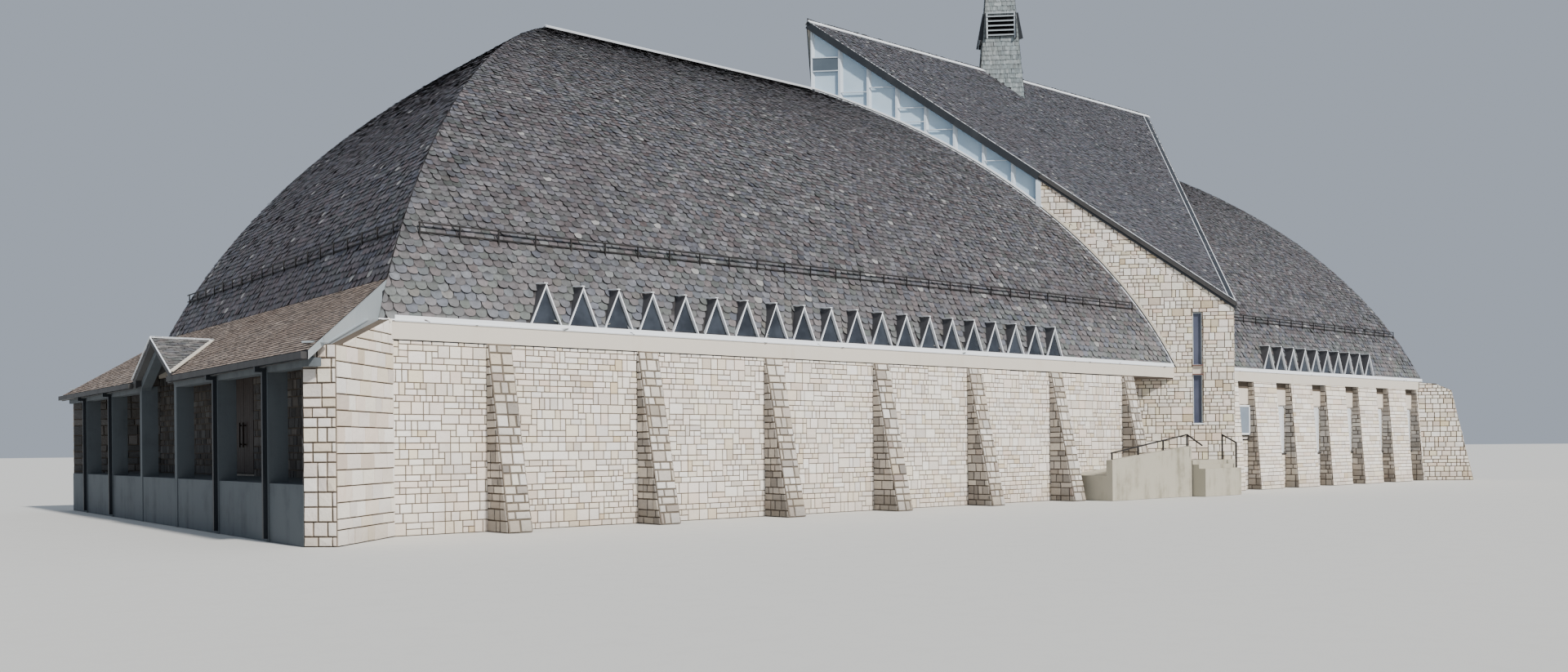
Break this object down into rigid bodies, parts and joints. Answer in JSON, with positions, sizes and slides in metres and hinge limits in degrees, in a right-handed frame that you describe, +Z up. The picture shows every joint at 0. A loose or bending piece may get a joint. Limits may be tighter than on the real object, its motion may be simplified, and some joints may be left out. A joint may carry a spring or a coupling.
{
  "type": "modern church building, 1:2 scale model",
  "caption": "Stone church with a curved hipped slate roof, a diagonal crossing roof, a tapering spire and a columned lean-to porch, at half size.",
  "frame": {"origin": "bottom centre of the overall box, at the lowest ground level, on the ridge line in plan", "axes": "+X east along the ridge from porch to choir, +Y north, +Z up"},
  "size_m": [28.4296, 12.12, 14.5],
  "materials": {
    "stone": "rough random ashlar",
    "concrete": "weathered smooth concrete",
    "grey_concrete": "grey concrete",
    "slate": "weathered rounded slates",
    "white_metal": "white paint and zinc",
    "frosted_glass": "frosted",
    "window_glass": "dark clear glass",
    "dark_metal": "dark brown paint",
    "brown_wood": "dark stained boards"
  },
  "bodies": {
    "building": {"nave_wall_south": "stone", "nave_wall_north": "stone", "choir_wall_south": "stone", "choir_wall_north": "stone", "choir_wall_east": "stone", "front_wall_south": "stone", "front_wall_north": "stone", "front_wall_over_door": "stone", "front_wing_wall_south": "stone", "front_wing_wall_north": "stone", "nave_ring_beam": "concrete", "choir_ring_beam": "concrete", "crossing_wall_south": "stone", "crossing_wall_north": "stone", "crossing_window_south": "window_glass", "crossing_window_north": "window_glass", "crossing_roof_south": "slate", "crossing_roof_north": "slate", "clerestory_frame_west": "white_metal", "clerestory_frame_east": "white_metal", "clerestory_glass_west": "frosted_glass", "clerestory_glass_east": "frosted_glass", "nave_roof_south": "slate", "nave_roof_north": "slate", "nave_roof_west": "slate", "choir_roof_south": "slate", "choir_roof_north": "slate", "choir_roof_east": "slate", "nave_dormers_south": "white_metal", "nave_dormers_north": "white_metal", "choir_dormers_south": "white_metal", "choir_dormers_north": "white_metal", "choir_glass_south": "window_glass", "choir_glass_north": "window_glass", "spire_shaft": "slate", "spire_louvres": "dark_metal", "nave_snow_guard_south": "dark_metal", "nave_snow_guard_north": "dark_metal", "choir_snow_guard_south": "dark_metal", "choir_snow_guard_north": "dark_metal", "west_snow_guard": "dark_metal", "floor_slab": "grey_concrete", "porch_floor": "grey_concrete", "porch_frame_south": "grey_concrete", "porch_frame_north": "grey_concrete", "porch_roof": "slate", "porch_gutter_south": "dark_metal", "porch_gutter_north": "dark_metal", "side_ceiling": "brown_wood", "side_door": "brown_wood", "side_ramp": "concrete", "side_railing": "dark_metal", "stair_railing": "dark_metal"},
    "north_leaf": {"front_door_north": "brown_wood"},
    "south_leaf": {"front_door_south": "brown_wood"}
  },
  "joints": [
    {"name": "north_leaf_swing", "type": "hinge", "parent": "building", "child": "north_leaf", "pos_m": [-12.93742, 0.428, 0.65], "axis": [0, 0, -1], "range_deg": [0, 90]},
    {"name": "south_leaf_swing", "type": "hinge", "parent": "building", "child": "south_leaf", "pos_m": [-12.93742, -0.428, 0.65], "axis": [0, 0, 1], "range_deg": [0, 90]}
  ]
}
